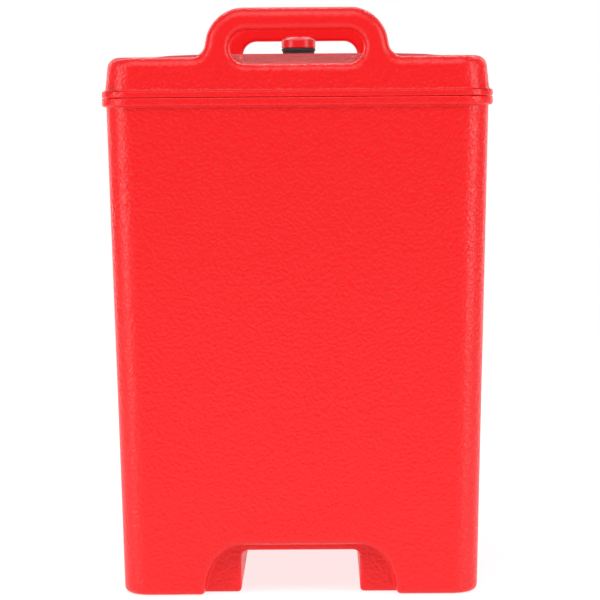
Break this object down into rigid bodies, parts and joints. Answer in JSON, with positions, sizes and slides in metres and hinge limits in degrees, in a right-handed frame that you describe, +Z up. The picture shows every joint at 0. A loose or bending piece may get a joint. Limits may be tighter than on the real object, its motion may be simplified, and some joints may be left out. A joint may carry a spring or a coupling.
{
  "type": "insulated drink container",
  "caption": "Tall insulated container for hot or cold drinks, with a lift-off lid, loop handles, side latches and a recessed tap.",
  "frame": {"origin": "on the floor, at the middle of the base", "axes": "+Z up, +Y towards the tap side, -Y towards the plain back that the picture shows, X across"},
  "size_m": [0.419, 0.521, 0.6334],
  "materials": {
    "red_polyethylene": "moulded, fine leathery grain, satin",
    "red_cap_plastic": "smooth moulded",
    "foam": "rigid closed-cell foam, sealed inside",
    "fill_plug": "smooth moulded",
    "black_rubber": "matte",
    "silicone": "matte translucent",
    "black_plastic": "moulded satin",
    "stem_plastic": "smooth moulded",
    "black_nylon": "moulded satin",
    "stainless": "brushed"
  },
  "bodies": {
    "container": {"body_shell": "red_polyethylene", "body_foam": "foam", "body_fill_plug_back": "fill_plug", "body_fill_plug_front": "fill_plug", "tap_body": "black_plastic", "tap_bonnet": "black_plastic", "tap_nut": "black_plastic", "tap_outer_washer": "silicone", "tap_tank_washer": "silicone", "tap_lever_pin": "stainless", "foot_pad_left_back": "black_rubber", "foot_pad_left_front": "black_rubber", "foot_pad_right_back": "black_rubber", "foot_pad_right_front": "black_rubber", "latch_bracket_left_back": "stainless", "latch_pin_left_back": "stainless", "latch_screw_left_back_1": "stainless", "latch_screw_left_back_2": "stainless", "latch_bracket_left_front": "stainless", "latch_pin_left_front": "stainless", "latch_screw_left_front_1": "stainless", "latch_screw_left_front_2": "stainless", "latch_bracket_right_back": "stainless", "latch_pin_right_back": "stainless", "latch_screw_right_back_1": "stainless", "latch_screw_right_back_2": "stainless", "latch_bracket_right_front": "stainless", "latch_pin_right_front": "stainless", "latch_screw_right_front_1": "stainless", "latch_screw_right_front_2": "stainless"},
    "lid": {"lid_shell": "red_polyethylene", "lid_foam": "foam", "lid_gasket": "black_rubber", "lid_fill_plug": "fill_plug"},
    "vent": {"vent_cap": "red_cap_plastic", "vent_seal": "black_rubber"},
    "tap_lever": {"tap_lever": "black_plastic"},
    "tap_valve": {"tap_stem": "stem_plastic", "tap_stem_pin": "stainless", "tap_seat_cup": "silicone"},
    "latch_left_back": {"latch_left_back": "black_nylon"},
    "latch_left_front": {"latch_left_front": "black_nylon"},
    "latch_right_back": {"latch_right_back": "black_nylon"},
    "latch_right_front": {"latch_right_front": "black_nylon"}
  },
  "joints": [
    {"name": "lid_lift", "type": "slide", "parent": "container", "child": "lid", "axis": [0, 0, 1], "range_m": [0, 0.06]},
    {"name": "vent_pull", "type": "slide", "parent": "lid", "child": "vent", "axis": [0, 0, 1], "range_m": [0, 0.03]},
    {"name": "tap_lever_press", "type": "hinge", "parent": "container", "child": "tap_lever", "pos_m": [0, 0.222, 0.1713], "axis": [-1, 0, 0], "range_deg": [0, 25], "stiffness_Nm_per_rad": 0.2, "springref_deg": -8.59},
    {"name": "tap_valve_lift", "type": "slide", "parent": "container", "child": "tap_valve", "axis": [0, 0, 1], "range_m": [0, 0.005]},
    {"name": "latch_left_back_swing", "type": "hinge", "parent": "container", "child": "latch_left_back", "pos_m": [-0.199, -0.13, 0.456], "axis": [0, -1, 0], "range_deg": [0, 120]},
    {"name": "latch_left_front_swing", "type": "hinge", "parent": "container", "child": "latch_left_front", "pos_m": [-0.199, 0.13, 0.456], "axis": [0, -1, 0], "range_deg": [0, 120]},
    {"name": "latch_right_back_swing", "type": "hinge", "parent": "container", "child": "latch_right_back", "pos_m": [0.199, -0.13, 0.456], "axis": [0, 1, 0], "range_deg": [0, 120]},
    {"name": "latch_right_front_swing", "type": "hinge", "parent": "container", "child": "latch_right_front", "pos_m": [0.199, 0.13, 0.456], "axis": [0, 1, 0], "range_deg": [0, 120]}
  ],
  "couplings": [
    {"joint": "tap_lever_press", "follows": "tap_valve_lift", "rad_per_m": 87.2},
    {"joint": "latch_left_back_swing", "follows": "lid_lift", "rad_per_m": 34.9},
    {"joint": "latch_left_front_swing", "follows": "lid_lift", "rad_per_m": 34.9},
    {"joint": "latch_right_back_swing", "follows": "lid_lift", "rad_per_m": 34.9},
    {"joint": "latch_right_front_swing", "follows": "lid_lift", "rad_per_m": 34.9}
  ]
}
